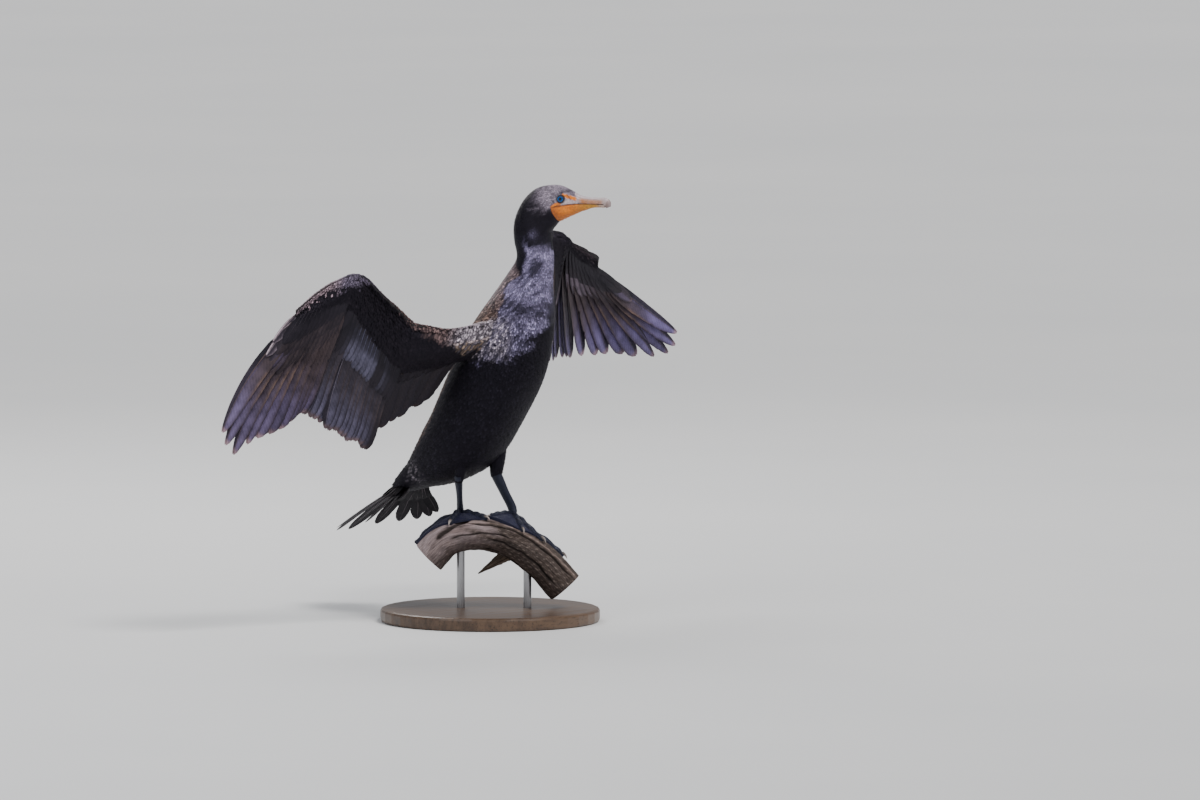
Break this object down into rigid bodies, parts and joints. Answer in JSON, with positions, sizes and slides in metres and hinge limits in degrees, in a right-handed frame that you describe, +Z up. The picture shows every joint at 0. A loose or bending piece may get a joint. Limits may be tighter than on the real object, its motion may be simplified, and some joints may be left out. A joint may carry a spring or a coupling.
{
  "type": "double-crested cormorant",
  "caption": "Life-size still model of a double-crested cormorant drying its spread wings on a cut length of driftwood, held over a plain round display stand.",
  "frame": {"origin": "centre of the stand base's flat underside, on the surface it stands on", "axes": "+Z up; the bird's body faces -Y and its left wing reaches towards +X; the perch runs level along +X -Y"},
  "size_m": [0.9178, 0.5142, 0.6619],
  "materials": {
    "black_feathers": "short glossy body feathers, black with a violet sheen",
    "wing_feathers": "stiff flight feathers, dark slate violet with brown edges and pale shafts",
    "bill_horn": "grey-pink horn, mottled",
    "throat_skin": "bare orange skin",
    "eye": "wet turquoise eye with a dark pupil",
    "leg_skin": "black scaled skin with a blue gloss",
    "driftwood": "weathered grey, cracked along the grain",
    "stand_wood": "dark satin",
    "stand_steel": "satin"
  },
  "bodies": {
    "root": {"head": "black_feathers", "neck_upper": "black_feathers", "neck_lower": "black_feathers", "torso": "black_feathers", "thigh_left": "black_feathers", "thigh_right": "black_feathers", "wing_left": "wing_feathers", "wing_right": "wing_feathers", "tail": "wing_feathers", "bill_upper": "bill_horn", "bill_lower": "throat_skin", "eye_left": "eye", "eye_right": "eye", "tarsus_left": "leg_skin", "tarsus_right": "leg_skin", "foot_left": "leg_skin", "foot_right": "leg_skin", "perch_branch": "driftwood", "stand_base": "stand_wood", "stand_rod_left": "stand_steel", "stand_rod_right": "stand_steel"}
  },
  "joints": []
}
